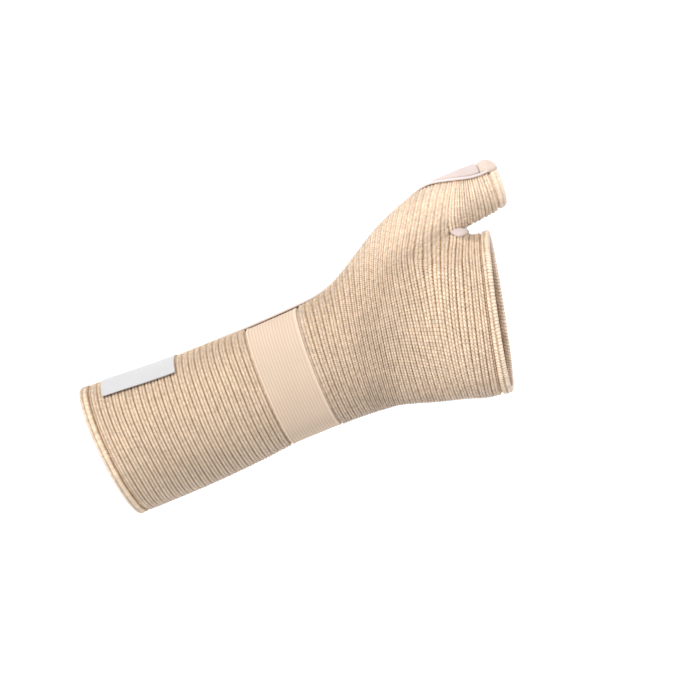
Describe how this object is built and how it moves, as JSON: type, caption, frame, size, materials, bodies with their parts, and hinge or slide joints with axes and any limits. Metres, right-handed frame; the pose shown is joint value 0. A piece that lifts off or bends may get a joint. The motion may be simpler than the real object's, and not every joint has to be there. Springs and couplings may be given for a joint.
{
  "type": "wrist support",
  "caption": "Rib-knit elastic sleeve for forearm, wrist, palm and thumb, with a woven strap round the wrist and a stay pocket along the thumb side.",
  "frame": {"origin": "middle of the wrist inside the woven strap, where the support is worn", "axes": "+X along the forearm towards the fingers, +Y towards the thumb, +Z out of the back of the hand"},
  "size_m": [0.2459, 0.1167, 0.0631],
  "materials": {
    "knit": "beige elastic rib knit",
    "strap": "smooth woven elastic, peach beige",
    "pocket": "smooth pale pink fabric",
    "tab": "smooth beige fabric",
    "label": "white woven satin, bare"
  },
  "bodies": {
    "root": {"knit_sleeve": "knit", "forearm_hem": "knit", "palm_hem": "knit", "thumb_hem": "knit", "wrist_strap": "strap", "stay_pocket": "pocket", "pocket_piping": "pocket", "pocket_tab": "tab", "web_gusset": "pocket", "label": "label"}
  },
  "joints": []
}
